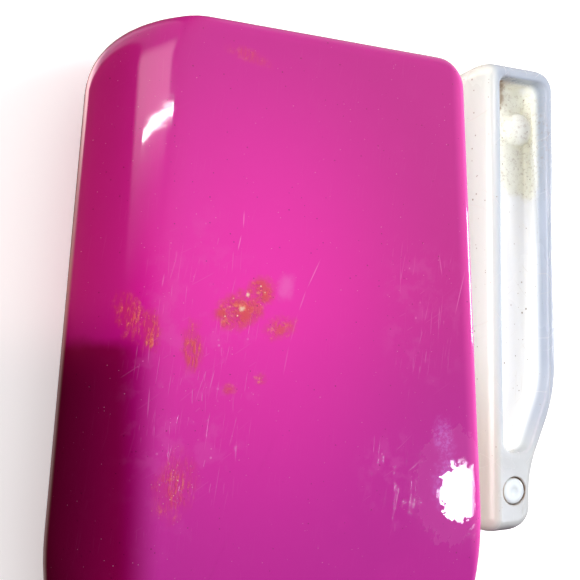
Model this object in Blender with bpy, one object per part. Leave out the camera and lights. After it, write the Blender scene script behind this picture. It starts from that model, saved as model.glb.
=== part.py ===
"""A palm-grip tracing wheel: a serrated wheel on a carrier that a squeeze lever pushes out of the nose.

The tool lies on its back. +Z is the front face's normal, +Y points to the tail, +X to the squeeze lever,
and the origin is on the flat rear face in the middle of the grip. Sizes are in millimetres; put() turns
them into metres.
"""
import math

import bmesh
import bpy
from mathutils import Vector

MM = 0.001
GAP = 0.3                      # air between neighbouring pieces
SINK = 0.6                     # how deep a boss or rib starts inside the wall it joins
PAST = 60                      # a cutter's far side, beyond every piece

# Housing: two shells that meet at mid-thickness
THICK = 15.0
WALL = 2.0
SEAM = THICK / 2
BULL = THICK / 2               # the left flank is a full half round
EDGE_R = 1.5                   # softer edges at the tail, the right side and the nose
TAIL_Y = 37.7
SHOULDER_Y = -30.0
TAIL_LEFT_X, TAIL_RIGHT_X = -21.4, 25.3
SHOULDER_LEFT_X, SHOULDER_RIGHT_X = -26.8, 28.0
LEFT_CORNER_R, RIGHT_CORNER_R, SHOULDER_R = 9.4, 4.0, 34.0
NECK_Y, NECK_R = -52.0, 24.0   # the flanks turn into the nose guard here
OPEN_SIDE_X = 20.0             # the lever swings in between the shells right of this line
OPEN_SIDE_Y = -27.5
OPEN_NOSE_Y = -47.0            # below this the shells are two loose cheeks

# Wheel and nose
WHEEL_Y = -60.0
WHEEL_R = 14.0
WHEEL_ROOT_R = 12.7
WHEEL_T = 1.0
TEETH = 40
GUARD_R = 15.0
WINDOW_R = 13.2                # half-moon in the front cheek
WINDOW_Y = -62.0
FRONT_NOSE_Y = -57.0
AXLE_R, AXLE_HEAD_R, AXLE_HEAD_T = 1.5, 3.8, 1.9
BUSH_R, FLANGE_R, FLANGE_T = 2.4, 4.2, 0.7
NUT_R, NUT_TOP_Z = 3.0, 4.6
WASHER_R, WASHER_T = 3.2, 0.45

# Squeeze lever
PIVOT_X, PIVOT_Y = 34.3, -18.9
LEVER_Z0, LEVER_Z1 = 2.3, 12.7
LEVER_LEFT_X, LEVER_RIGHT_X, LEVER_HEEL_X = 30.2, 42.9, 38.1
LEVER_TOP_Y, LEVER_BOTTOM_Y = 39.7, -24.7
RIM = 2.4
POCKET_DEPTH = 4.0
POCKET_BOTTOM_Y = -13.8
BOSS_X, BOSS_Y, BOSS_R, BOSS_H = 38.5, 31.3, 2.3, 1.6
PIN_R, PIN_HEAD_R, PIN_HEAD_T = 1.25, 1.75, 1.0
EAR_R = 4.6                    # the rear cover's ear around the pivot

# Bell-crank arm inside the housing: 4 degrees above level at rest, 4 below when squeezed
ARM_R = 34.4
ARM_REST = math.radians(4.0)
ARM_Z0, ARM_Z1 = 3.0, 6.2
ARM_W = 5.4
DRIVE_R = 1.5

# Wheel carrier
CARRIER_Z0, CARRIER_Z1 = 2.6, 12.2
TAIL_Z0 = 6.6                  # the carrier is thin where the arm passes under it
FORK_Z0, FORK_Z1 = 5.6, 9.6
CARRIER_HALF_W = 7.0
STEM_HALF_W = 6.0
STROKE = 4.8
SPRING_R, SPRING_WIRE = 2.0, 0.3
SPRING_Y0, SPRING_Y1 = -3.1, 13.6
SPRING_TURNS = 7
SPRING_Z = 9.3
RAIL_Y0, RAIL_Y1, RAIL_TOP_Z = -6.0, 17.0, 11.6
BODY_TOP_Y = -30.0             # the carrier's wide block ends here, and its thin stem goes on

# Safety lock
LOCK_X, LOCK_Y = -8.9, -34.0
LOCK_TRAVEL = 2.4
TONGUE_HALF_W, TONGUE_HALF_L = 1.5, 0.8
TONGUE_Z0, TONGUE_Z1 = 9.9, 12.7
CAP_HALF_W, CAP_HALF_L, CAP_R, CAP_T = 5.2, 3.6, 2.4, 1.8
RIB_PITCH = 1.5

# Cover screws, driven from behind
SCREWS = [(-15.0, 28.0), (14.0, 28.0), (-19.0, -30.0), (18.5, -36.0)]
SCREW_R, SCREW_HEAD_R = 1.25, 2.5
SCREW_HEAD_Z0, SCREW_HEAD_Z1, SCREW_TIP_Z = 0.4, 1.9, 11.2
REAR_BOSS_R, FRONT_BOSS_R = 3.4, 2.9

COLOURS = {
    "magenta": ((0.62, 0.03, 0.30), 0.22, 0.0),
    "ivory": ((0.86, 0.82, 0.70), 0.35, 0.0),
    "steel": ((0.62, 0.62, 0.64), 0.28, 1.0),
    "brass": ((0.78, 0.58, 0.28), 0.30, 1.0),
    "white": ((0.85, 0.85, 0.83), 0.40, 0.0),
}


# ---------------------------------------------------------------- helpers

def clear_scene():
    for obj in list(bpy.data.objects):
        bpy.data.objects.remove(obj, do_unlink=True)


def material(colour):
    """One Principled material for each named colour."""
    found = bpy.data.materials.get(colour)
    if found:
        return found
    base, rough, metal = COLOURS[colour]
    mat = bpy.data.materials.new(colour)
    mat.use_nodes = True
    shader = mat.node_tree.nodes["Principled BSDF"]
    shader.inputs["Base Color"].default_value = (*base, 1.0)
    shader.inputs["Roughness"].default_value = rough
    shader.inputs["Metallic"].default_value = metal
    return mat


def put(name, bm, colour="steel", origin=(0.0, 0.0, 0.0)):
    """Make an object from a bmesh in millimetres, with its origin at the given point."""
    shift = Vector(origin)
    for v in bm.verts:
        v.co = (v.co - shift) * MM
    bmesh.ops.recalc_face_normals(bm, faces=bm.faces)
    mesh = bpy.data.meshes.new(name)
    bm.to_mesh(mesh)
    bm.free()
    mesh.shade_smooth()
    mesh.set_sharp_from_angle(angle=math.radians(35))
    mesh.materials.append(material(colour))
    obj = bpy.data.objects.new(name, mesh)
    obj.location = shift * MM
    bpy.context.collection.objects.link(obj)
    return obj


def tool(obj):
    """Mark an object as a shape that only cuts or joins others."""
    obj.hide_render = True
    obj.display_type = "WIRE"
    return obj


def combine(obj, other, operation):
    mod = obj.modifiers.new(operation.lower(), "BOOLEAN")
    mod.operation = operation
    mod.solver = "EXACT"
    mod.object = tool(other)


def cut(obj, *others):
    for other in others:
        combine(obj, other, "DIFFERENCE")


def join(obj, *others):
    for other in others:
        combine(obj, other, "UNION")


def rounded(corners, segments=6):
    """Outline through (x, y, radius) corners, each rounded by an arc."""
    outline = []
    count = len(corners)
    for i, (x, y, r) in enumerate(corners):
        here = Vector((x, y))
        to_prev = (Vector(corners[i - 1][:2]) - here).normalized()
        to_next = (Vector(corners[(i + 1) % count][:2]) - here).normalized()
        half = to_prev.angle(to_next) / 2
        bisector = (to_prev + to_next).normalized()
        centre = here + bisector * (r / math.sin(half))
        start = here + to_prev * (r / math.tan(half)) - centre
        end = here + to_next * (r / math.tan(half)) - centre
        sweep = start.angle_signed(end)
        for s in range(segments + 1):
            angle = -sweep * s / segments
            turned = Vector((start.x * math.cos(angle) - start.y * math.sin(angle),
                             start.x * math.sin(angle) + start.y * math.cos(angle)))
            outline.append((centre.x + turned.x, centre.y + turned.y))
    return outline


def box_corners(x0, x1, y0, y1, r=0.0):
    return [(x1, y1, r), (x0, y1, r), (x0, y0, r), (x1, y0, r)]


def circle(x, y, r, segments=32):
    return [(x + r * math.cos(math.tau * i / segments), y + r * math.sin(math.tau * i / segments))
            for i in range(segments)]


def loft(rings):
    """Closed solid through rings of equal length, each a list of (x, y, z)."""
    bm = bmesh.new()
    layers = [[bm.verts.new(p) for p in ring] for ring in rings]
    count = len(rings[0])
    for low, high in zip(layers, layers[1:]):
        for i in range(count):
            j = (i + 1) % count
            bm.faces.new((low[i], low[j], high[j], high[i]))
    bm.faces.new(list(reversed(layers[0])))
    bm.faces.new(layers[-1])
    return bm


def prism(outline, z0, z1):
    return loft([[(x, y, z) for x, y in outline] for z in (z0, z1)])


def block(x0, x1, y0, y1, z0, z1, r=0.0):
    outline = rounded(box_corners(x0, x1, y0, y1, r)) if r else [p[:2] for p in box_corners(x0, x1, y0, y1)]
    return prism(outline, z0, z1)


def turned(profile, x, y, segments=32):
    """Solid of revolution about a line along Z: profile is (radius, z) from bottom to top."""
    return loft([[(px, py, z) for px, py in circle(x, y, r, segments)] for r, z in profile])


# ---------------------------------------------------------------- housing

def round_inset(z, radius, half):
    """How far an edge of this radius has drawn in at height z of a body 2*half thick."""
    depth = abs(z - SEAM) - (half - radius)
    if depth <= 0:
        return 0.0
    return radius - math.sqrt(max(radius ** 2 - depth ** 2, 0.0))


def housing_ring(z, wall=0.0):
    """Outline of the housing at height z, drawn in by the wall for the hollow inside it."""
    half = THICK / 2 - wall
    left = wall + round_inset(z, BULL - wall, half)
    soft = wall + round_inset(z, max(EDGE_R - wall, 0.4), half)
    lines = [                                  # (point, direction, inset), anticlockwise from the tail
        ((0, TAIL_Y), (-1, 0), soft),
        ((TAIL_LEFT_X, TAIL_Y), (SHOULDER_LEFT_X - TAIL_LEFT_X, SHOULDER_Y - TAIL_Y), left),
        ((SHOULDER_LEFT_X, SHOULDER_Y), (-GUARD_R - SHOULDER_LEFT_X, NECK_Y - SHOULDER_Y), (left + soft) / 2),
        ((-GUARD_R, WHEEL_Y), (0, -1), soft),
        ((0, WHEEL_Y - GUARD_R), (1, 0), soft),
        ((GUARD_R, WHEEL_Y), (0, 1), soft),
        ((SHOULDER_RIGHT_X, SHOULDER_Y), (SHOULDER_RIGHT_X - GUARD_R, SHOULDER_Y - NECK_Y), soft),
        ((TAIL_RIGHT_X, TAIL_Y), (TAIL_RIGHT_X - SHOULDER_RIGHT_X, TAIL_Y - SHOULDER_Y), soft),
    ]
    guard = GUARD_R - 0.1
    radii = [LEFT_CORNER_R, SHOULDER_R, NECK_R, guard, guard, NECK_R, SHOULDER_R, RIGHT_CORNER_R]
    corners = []
    for i in range(len(lines)):
        first, second = lines[i], lines[(i + 1) % len(lines)]
        x, y = crossing(first, second)
        r = max(radii[i] - (first[2] + second[2]) / 2, 0.8)
        corners.append((x, y, r))
    return [(x, y, z) for x, y in rounded(corners)]


def crossing(first, second):
    """Where two lines meet, each moved to its left by its inset."""
    (p, d, a), (q, e, b) = first, second
    d, e = Vector(d).normalized(), Vector(e).normalized()
    p = Vector(p) + Vector((-d.y, d.x)) * a
    q = Vector(q) + Vector((-e.y, e.x)) * b
    step = (q - p).cross(e) / d.cross(e)
    return p + d * step


def shell_heights(sign):
    """Heights from the seam to the outer face, closer together near the face."""
    angles = [0, 15, 30, 45, 60, 75, 90]
    heights = [SEAM + sign * max(BULL * math.sin(math.radians(a)), GAP / 2) for a in angles]
    return heights if sign > 0 else list(reversed(heights))


def shell(name, sign):
    return put(name, loft([housing_ring(z) for z in shell_heights(sign)]), "magenta")


def hollow():
    """The space inside both shells, and its openings at the lever's side and at the nose."""
    reach = THICK / 2 - WALL
    heights = [SEAM + reach * math.sin(math.radians(a)) for a in (-90, -70, -45, -20, 0, 20, 45, 70, 90)]
    inside = put("hollow_main", loft([housing_ring(z, WALL) for z in heights]))
    side = put("hollow_side", block(OPEN_SIDE_X, PAST, OPEN_SIDE_Y, PAST, WALL, THICK - WALL))
    nose = put("hollow_nose", block(-PAST, PAST, -2 * PAST, OPEN_NOSE_Y, WALL, THICK - WALL))
    return inside, side, nose


def boss(name, x, y, r, z0, z1, segments=20):
    return put(name, prism(circle(x, y, r, segments), z0, z1))


def rear_cover(spaces):
    cover = shell("rear_cover", -1)
    cut(cover, *spaces)
    top = SEAM - GAP / 2
    for i, (x, y) in enumerate(SCREWS, 1):
        join(cover, boss(f"rear_boss_{i}", x, y, REAR_BOSS_R, WALL - SINK, top))
        sink_r, hole_r, seat = SCREW_HEAD_R + 0.4, SCREW_R + 0.35, SCREW_HEAD_Z1 + GAP
        hole = [(sink_r, -1.0), (sink_r, seat), (hole_r, seat), (hole_r, top + 1)]
        cut(cover, put(f"screw_hole_{i}", turned(hole, x, y, 20)))
    for side in (-1, 1):
        x0, x1 = sorted((side * (STEM_HALF_W + GAP), side * (STEM_HALF_W + 2.0)))
        join(cover, put(f"rear_rail_{side}", block(x0, x1, RAIL_Y0, RAIL_Y1, WALL - SINK, RAIL_TOP_Z)))
    join(cover, put("spring_post", block(-1.9, 1.9, -5.4, SPRING_Y0 - GAP, WALL - SINK, 11.0)))
    ear_x, ear_root_x = PIVOT_X + EAR_R, OPEN_SIDE_X - 2
    ear = rounded([(ear_x, PIVOT_Y + EAR_R, EAR_R - 0.1), (ear_root_x, PIVOT_Y + EAR_R, 1),
                   (ear_root_x, PIVOT_Y - EAR_R, 1), (ear_x, PIVOT_Y - EAR_R, EAR_R - 0.1)])
    join(cover, put("pivot_ear", prism(ear, 0.15, WALL - 0.1)))
    cut(cover, boss("ear_hole", PIVOT_X, PIVOT_Y, PIN_R + GAP, -1, 3, 24))
    return cover


def front_cover(spaces):
    cover = shell("front_cover", 1)
    cut(cover, *spaces)
    low = SEAM + GAP / 2
    for i, (x, y) in enumerate(SCREWS, 1):
        join(cover, boss(f"front_boss_{i}", x, y, FRONT_BOSS_R, low, THICK - WALL + SINK))
        cut(cover, boss(f"thread_{i}", x, y, SCREW_R + GAP, low - 1, SCREW_TIP_Z + 0.4, 16))
    cut(cover, put("window", prism(circle(0, WINDOW_Y, WINDOW_R, 48), 0, THICK + 2)))
    cut(cover, put("nose_trim", block(-PAST, PAST, -2 * PAST, FRONT_NOSE_Y, 0, THICK + 2)))
    near, far = LOCK_X - TONGUE_HALF_W - GAP, LOCK_X + TONGUE_HALF_W + LOCK_TRAVEL + GAP
    half = TONGUE_HALF_L + 0.4
    slot = block(near, far, LOCK_Y - half, LOCK_Y + half, 10, THICK + 2)
    cut(cover, put("lock_slot", slot))
    return cover


def cover_screws():
    for i, (x, y) in enumerate(SCREWS, 1):
        profile = [(SCREW_HEAD_R, SCREW_HEAD_Z0), (SCREW_HEAD_R, SCREW_HEAD_Z1), (SCREW_R, SCREW_HEAD_Z1),
                   (SCREW_R, SCREW_TIP_Z - 0.6), (SCREW_R - 0.55, SCREW_TIP_Z)]
        screw = put(f"cover_screw_{i}", turned(profile, x, y, 20), "steel")
        for turn in (0, 1):
            half = (1.6, 0.35) if turn else (0.35, 1.6)
            groove = block(x - half[0], x + half[0], y - half[1], y + half[1], -0.5, 1.1)
            cut(screw, put(f"screw_{i}_groove_{turn}", groove))


# ---------------------------------------------------------------- lever

def lever_outline(inset=0.0):
    left, right = LEVER_LEFT_X + inset, LEVER_RIGHT_X - inset
    top, bottom, heel = LEVER_TOP_Y - inset, LEVER_BOTTOM_Y + inset, LEVER_HEEL_X - inset
    return rounded([(right, top, 3.2 - inset), (left, top, 1.8 - inset), (left, bottom, 1.8 - inset),
                    (heel, bottom, 3.4 - inset), (heel, PIVOT_Y + 2.5, 14.0), (right, PIVOT_Y + 13, 20.0)])


def squeeze_lever():
    soft = 0.5
    steps = [(soft, LEVER_Z0), (0.0, LEVER_Z0 + soft), (0.0, LEVER_Z1 - soft), (soft, LEVER_Z1)]
    rings = [[(x, y, z) for x, y in lever_outline(inset)] for inset, z in steps]
    lever = put("squeeze_lever", loft(rings), "ivory", (PIVOT_X, PIVOT_Y, 0))
    left, right, top_y = LEVER_LEFT_X + RIM, LEVER_RIGHT_X - RIM, LEVER_TOP_Y - RIM
    pocket = rounded([(right, top_y, 1.2), (left, top_y, 1.2), (left, POCKET_BOTTOM_Y, 1.8),
                      (LEVER_HEEL_X - 1.4, POCKET_BOTTOM_Y, 1.8), (right, PIVOT_Y + 14, 12.0)])
    floor_z = LEVER_Z1 - POCKET_DEPTH
    cut(lever, put("lever_pocket", prism(pocket, floor_z, LEVER_Z1 + 2)))
    dome = [(BOSS_R, floor_z - 0.5), (BOSS_R, floor_z + 0.4), (BOSS_R * 0.8, floor_z + 1.1),
            (BOSS_R * 0.4, floor_z + BOSS_H)]
    join(lever, put("lever_boss", turned(dome, BOSS_X, BOSS_Y, 20)))
    join(lever, put("lever_arm", prism(arm_outline(), ARM_Z0, ARM_Z1)))
    end_x, end_y = drive_point()
    cut(lever, boss("drive_hole", end_x, end_y, DRIVE_R + GAP, ARM_Z0 - 1, ARM_Z1 + 1, 20))
    bore = [(PIN_R + GAP, LEVER_Z0 - 1), (PIN_R + GAP, LEVER_Z1 - PIN_HEAD_T - GAP),
            (PIN_HEAD_R + GAP, LEVER_Z1 - PIN_HEAD_T - GAP), (PIN_HEAD_R + GAP, LEVER_Z1 + 1)]
    cut(lever, put("pivot_bore", turned(bore, PIVOT_X, PIVOT_Y, 24)))
    return lever


def drive_point():
    return PIVOT_X - ARM_R * math.cos(ARM_REST), PIVOT_Y + ARM_R * math.sin(ARM_REST)


def arm_outline():
    """A bar from the lever's wall to the drive pin, with a round end."""
    end_x, end_y = drive_point()
    half = ARM_W / 2
    start_x = LEVER_LEFT_X + 1.5
    arc = [(end_x + half * math.cos(math.radians(a)), end_y + half * math.sin(math.radians(a)))
           for a in range(90, 271, 18)]
    return [(start_x, PIVOT_Y + half + 1)] + arc + [(start_x, PIVOT_Y - half + 1)]


def lever_pins():
    profile = [(PIN_R, 0.5), (PIN_R, LEVER_Z1 - PIN_HEAD_T), (PIN_HEAD_R, LEVER_Z1 - PIN_HEAD_T),
               (PIN_HEAD_R, LEVER_Z1 - 0.15), (PIN_HEAD_R - 0.25, LEVER_Z1)]
    put("lever_pivot_pin", turned(profile, PIVOT_X, PIVOT_Y, 24), "ivory")
    end_x, end_y = drive_point()
    profile = [(DRIVE_R, ARM_Z0 + 0.1), (DRIVE_R, 11.4), (DRIVE_R - 0.3, 11.7)]
    put("drive_pin", turned(profile, end_x, end_y, 20), "steel", (PIVOT_X, PIVOT_Y, 0))


# ---------------------------------------------------------------- carrier, spring and lock

def wheel_carrier():
    """Fork for the wheel, a block behind it, and a thin stem with the drive slot and the spring's window."""
    end_x, end_y = drive_point()
    half, tip_y = CARRIER_HALF_W, WHEEL_Y - 4.6
    fork = rounded([(half, BODY_TOP_Y, 0.8), (-half, BODY_TOP_Y, 0.8), (-half, WHEEL_Y + 6, 4.0),
                    (-4.6, tip_y, 4.5), (4.6, tip_y, 4.5), (half, WHEEL_Y + 6, 4.0)])
    carrier = put("wheel_carrier", prism(fork, CARRIER_Z0, CARRIER_Z1), "white", (0, WHEEL_Y, 0))
    stem = block(-STEM_HALF_W, STEM_HALF_W, BODY_TOP_Y - 4, RAIL_Y1, TAIL_Z0, 11.8, 1.0)
    join(carrier, put("carrier_stem", stem))
    slot_half = DRIVE_R + GAP / 2
    cut(carrier, put("wheel_slot", block(-20, 20, WHEEL_Y - 12, WHEEL_Y + WHEEL_R + 1.2, FORK_Z0, FORK_Z1)))
    cross = block(end_x - 2.6, end_x + 2.6, end_y - slot_half, end_y + slot_half, 5, 13)
    cut(carrier, put("cross_slot", cross))
    cut(carrier, put("spring_window", block(-2.7, 2.7, -7.2, SPRING_Y1 + GAP, 5, 13)))
    cut(carrier, boss("axle_bore", 0, WHEEL_Y, AXLE_R + GAP, 0, THICK, 24))
    cut(carrier, put("nut_pocket", prism(circle(0, WHEEL_Y, NUT_R + GAP, 6), 0, NUT_TOP_Z + GAP)))
    for i, y in enumerate((LOCK_Y, LOCK_Y + STROKE)):
        reach, half = LOCK_X + TONGUE_HALF_W + LOCK_TRAVEL + GAP, TONGUE_HALF_L + GAP
        notch = block(-CARRIER_HALF_W - 1, reach, y - half, y + half, TONGUE_Z0 - GAP, 13)
        cut(carrier, put(f"lock_notch_{i}", notch))
    return carrier


def return_spring():
    """Compression spring lying along Y between the housing's post and the carrier's window."""
    per_turn, sides = 14, 6
    steps = SPRING_TURNS * per_turn
    length = SPRING_Y1 - SPRING_Y0 - 2 * SPRING_WIRE
    rings = []
    for i in range(steps + 1):
        share = i / steps
        angle = share * SPRING_TURNS * math.tau
        out = Vector((math.cos(angle), 0, math.sin(angle)))
        along = Vector((0, 1, 0))
        centre = Vector((0, SPRING_Y0 + SPRING_WIRE + coil_share(share) * length, SPRING_Z)) + out * SPRING_R
        ring = [centre + (out * math.cos(math.tau * k / sides) + along * math.sin(math.tau * k / sides))
                * SPRING_WIRE for k in range(sides)]
        rings.append([tuple(p) for p in ring])
    put("return_spring", loft(rings), "steel")


def coil_share(share):
    """Place along the spring: closed end turns, then an even pitch between them."""
    closed, rise = 1.0 / SPRING_TURNS, 0.045
    if share < closed:
        return share / closed * rise
    if share > 1 - closed:
        return 1 - (1 - share) / closed * rise
    return rise + (share - closed) / (1 - 2 * closed) * (1 - 2 * rise)


def lock():
    """A thumb button outside the front cover, clipped to a slider with a tongue inside it."""
    tongue = (LOCK_X - TONGUE_HALF_W, LOCK_X + TONGUE_HALF_W, LOCK_Y - TONGUE_HALF_L, LOCK_Y + TONGUE_HALF_L)
    z0 = THICK + GAP
    rings = [[(x, y, z0 + rise) for x, y in cap_outline(inset)]
             for inset, rise in ((0, 0), (0, CAP_T - 0.6), (0.6, CAP_T))]
    button = put("lock_button", loft(rings), "ivory")
    join(button, put("lock_neck", block(*tongue, TONGUE_Z1 + GAP, z0 + 0.5)))
    for i in range(5):
        x = LOCK_X + (i - 2) * RIB_PITCH
        groove = block(x - 0.3, x + 0.3, LOCK_Y - 2.4, LOCK_Y + 2.4, z0 + CAP_T - 0.5, z0 + CAP_T + 1)
        cut(button, put(f"grip_groove_{i}", groove))
    slider = put("lock_slider", block(*tongue, TONGUE_Z0, TONGUE_Z1), "white")
    wing = (LOCK_X - 6.0, LOCK_X + TONGUE_HALF_W, LOCK_Y - 3.0, LOCK_Y + 3.0)
    join(slider, put("slider_wing", block(*wing, TONGUE_Z1 - 0.25, TONGUE_Z1 + 0.02)))


def cap_outline(inset):
    half_w, half_l = CAP_HALF_W - inset, CAP_HALF_L - inset
    corners = box_corners(LOCK_X - half_w, LOCK_X + half_w, LOCK_Y - half_l, LOCK_Y + half_l, CAP_R - inset)
    return rounded(corners)


# ---------------------------------------------------------------- wheel and axle

def tracing_wheel():
    """Thin disc with pointed teeth and a round hole."""
    outer = []
    for i in range(2 * TEETH):
        r = WHEEL_R if i % 2 else WHEEL_ROOT_R
        angle = math.tau * i / (2 * TEETH)
        outer.append((r * math.cos(angle), WHEEL_Y + r * math.sin(angle)))
    z0 = SEAM + 0.1 - WHEEL_T / 2
    wheel = put("tracing_wheel", prism(outer, z0, z0 + WHEEL_T), "steel", (0, WHEEL_Y, 0))
    cut(wheel, boss("wheel_hole", 0, WHEEL_Y, BUSH_R + GAP, 0, THICK, 24))
    return z0


def axle_set(wheel_z0):
    """Flanged bush, thrust washer, spring washer, slotted bolt and hexagon nut."""
    bush_z0, flange_z = wheel_z0 - 0.5, wheel_z0 + WHEEL_T + GAP
    sleeve = [(BUSH_R, bush_z0), (BUSH_R, flange_z), (FLANGE_R, flange_z), (FLANGE_R, flange_z + FLANGE_T)]
    bored("wheel_bush", turned(sleeve, 0, WHEEL_Y, 24), "brass")
    ring = [(FLANGE_R, FORK_Z0 + GAP / 2), (FLANGE_R, bush_z0 - GAP / 2)]
    bored("thrust_washer", turned(ring, 0, WHEEL_Y, 24))
    washer_z = CARRIER_Z1 + GAP / 2
    bored("spring_washer", turned([(WASHER_R, washer_z), (WASHER_R, washer_z + WASHER_T)], 0, WHEEL_Y, 24))
    end_z, head_z = CARRIER_Z0 + 0.2, washer_z + WASHER_T + 0.2
    top_z = head_z + AXLE_HEAD_T
    profile = [(AXLE_R, end_z), (AXLE_R, head_z), (AXLE_HEAD_R, head_z), (AXLE_HEAD_R, top_z - 0.4),
               (AXLE_HEAD_R - 0.5, top_z)]
    bolt = put("axle_bolt", turned(profile, 0, WHEEL_Y, 32), "steel", (0, WHEEL_Y, 0))
    cut(bolt, put("bolt_slot", block(-5, 5, WHEEL_Y - 0.5, WHEEL_Y + 0.5, head_z + 1.0, top_z + 1)))
    bored("axle_nut", prism(circle(0, WHEEL_Y, NUT_R, 6), end_z, NUT_TOP_Z))


def bored(name, bm, colour="steel"):
    """A piece on the wheel's axis with a clear hole for the bolt."""
    piece = put(name, bm, colour, (0, WHEEL_Y, 0))
    cut(piece, boss(name + "_bore", 0, WHEEL_Y, AXLE_R + GAP, 0, THICK, 24))


def main():
    clear_scene()
    spaces = hollow()
    rear_cover(spaces)
    front_cover(spaces)
    cover_screws()
    squeeze_lever()
    lever_pins()
    wheel_carrier()
    return_spring()
    lock()
    axle_set(tracing_wheel())


main()
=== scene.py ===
"""Looks of the palm-grip tracing wheel: fine meshes and worn plastic and metal over the CAD frame.

Pieces are modelled in millimetres, and finish_piece() turns them into metres. The frame gives the
places; the housing's outline repeats the CAD's own driving dimensions.
"""
import math

import bmesh
import bpy
from mathutils import Matrix, Vector


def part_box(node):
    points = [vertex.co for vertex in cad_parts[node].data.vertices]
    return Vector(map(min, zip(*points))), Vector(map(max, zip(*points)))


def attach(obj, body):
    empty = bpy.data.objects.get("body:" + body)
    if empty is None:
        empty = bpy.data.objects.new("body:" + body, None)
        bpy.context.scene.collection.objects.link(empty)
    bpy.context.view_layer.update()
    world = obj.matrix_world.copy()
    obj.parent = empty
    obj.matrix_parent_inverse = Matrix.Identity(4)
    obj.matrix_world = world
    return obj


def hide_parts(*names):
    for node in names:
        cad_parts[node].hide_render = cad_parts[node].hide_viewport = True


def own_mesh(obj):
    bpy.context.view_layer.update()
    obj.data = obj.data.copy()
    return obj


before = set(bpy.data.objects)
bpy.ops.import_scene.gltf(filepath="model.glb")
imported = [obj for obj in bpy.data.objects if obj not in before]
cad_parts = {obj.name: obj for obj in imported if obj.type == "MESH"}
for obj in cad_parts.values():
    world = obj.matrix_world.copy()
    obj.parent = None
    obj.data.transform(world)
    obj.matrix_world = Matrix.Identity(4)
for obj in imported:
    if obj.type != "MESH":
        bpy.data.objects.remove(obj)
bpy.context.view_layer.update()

MM = 0.001


def span(node):
    """Lowest and highest corner of a CAD node in millimetres."""
    low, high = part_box(node)
    return low / MM, high / MM


# ---- driving dimensions

GAP = 0.3
THICK = span("front_cover")[1].z
SEAM = THICK / 2
WALL = 2.0
BULL_R = THICK / 2
EDGE_R = 1.5
CROWN = 0.22
BULL_REACH = 11.5
TAIL_Y, SHOULDER_Y, NECK_Y = 37.7, -30.0, -52.0
TAIL_LEFT_X, TAIL_RIGHT_X = -21.4, 25.3
SHOULDER_LEFT_X, SHOULDER_RIGHT_X = -26.8, 28.0
LEFT_CORNER_R, RIGHT_CORNER_R, SHOULDER_R, NECK_R = 9.4, 4.0, 34.0, 24.0
OPEN_SIDE_X, OPEN_SIDE_Y, OPEN_NOSE_Y = 20.0, -27.5, -47.0
SINK = 0.6
RAIL_Y0, RAIL_Y1, RAIL_TOP_Z = -6.0, 17.0, 11.6
POST_HALF_W, POST_TOP_Z = 1.9, 11.0
EAR_R = 4.6

WHEEL_LOW, WHEEL_HIGH = span("tracing_wheel")
WHEEL_Y = (WHEEL_LOW.y + WHEEL_HIGH.y) / 2
WHEEL_R = (WHEEL_HIGH.y - WHEEL_LOW.y) / 2
WHEEL_Z = (WHEEL_LOW.z + WHEEL_HIGH.z) / 2
TEETH = 40
GUARD_R = WHEEL_Y - span("rear_cover")[0].y
WINDOW_R, WINDOW_Y, FRONT_NOSE_Y = 13.2, -62.0, -57.0

LEVER_HIGH = span("squeeze_lever")[1]
LEVER_Z0, LEVER_Z1 = 2.3, LEVER_HIGH.z
LEVER_LEFT_X, LEVER_RIGHT_X, LEVER_HEEL_X = 30.2, LEVER_HIGH.x, 38.1
LEVER_TOP_Y, LEVER_BOTTOM_Y = LEVER_HIGH.y, -24.7
RIM, POCKET_DEPTH, POCKET_BOTTOM_Y = 2.4, 4.0, -13.8
PIN_LOW, PIN_HIGH = span("lever_pivot_pin")
PIVOT_X, PIVOT_Y = (PIN_LOW.x + PIN_HIGH.x) / 2, (PIN_LOW.y + PIN_HIGH.y) / 2
PIN_R, PIN_HEAD_R, PIN_HEAD_T = 1.25, 1.75, 1.0
BOSS_X, BOSS_Y, BOSS_R, BOSS_H = 38.5, 31.3, 2.3, 1.6
DRIVE_LOW, DRIVE_HIGH = span("drive_pin")
DRIVE_X, DRIVE_Y = (DRIVE_LOW.x + DRIVE_HIGH.x) / 2, (DRIVE_LOW.y + DRIVE_HIGH.y) / 2
DRIVE_R = (DRIVE_HIGH.x - DRIVE_LOW.x) / 2
ARM_Z0, ARM_Z1, ARM_W = 3.0, 6.2, 5.4

CARRIER_Z0, CARRIER_Z1 = 2.6, 12.2
TAIL_Z0 = 6.6
FORK_Z0, FORK_Z1 = 5.6, 9.6
CARRIER_HALF_W, STEM_HALF_W, BODY_TOP_Y = 7.0, 6.0, -30.0
STROKE = 4.8
AXLE_R, AXLE_BORE_R, FLANGE_R = 1.5, 1.8, 4.2
NUT_R, NUT_TOP_Z = 3.0, 4.6
SPRING_R, SPRING_WIRE, SPRING_TURNS, SPRING_Z = 2.0, 0.3, 7, 9.3
SPRING_LOW, SPRING_HIGH = span("return_spring")

LOCK_LOW, LOCK_HIGH = span("lock_button")
LOCK_X, LOCK_Y = (LOCK_LOW.x + LOCK_HIGH.x) / 2, (LOCK_LOW.y + LOCK_HIGH.y) / 2
LOCK_TRAVEL = 2.4
TONGUE_HALF_W, TONGUE_HALF_L, TONGUE_Z0, TONGUE_Z1 = 1.5, 0.8, 9.9, 12.7
CAP_HALF_W, CAP_HALF_L, CAP_R, RIB_PITCH = 5.2, 3.6, 2.4, 1.5
SCREW_R, SCREW_HEAD_R, FRONT_BOSS_R, REAR_BOSS_R = 1.25, 2.5, 2.9, 3.4
SCREWS = [sum(span(f"cover_screw_{i}"), Vector()) / 2 for i in range(1, 5)]


# ---- mesh helpers

def linked_object(name, data):
    obj = bpy.data.objects.new(name, data)
    bpy.context.collection.objects.link(obj)
    return obj


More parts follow.
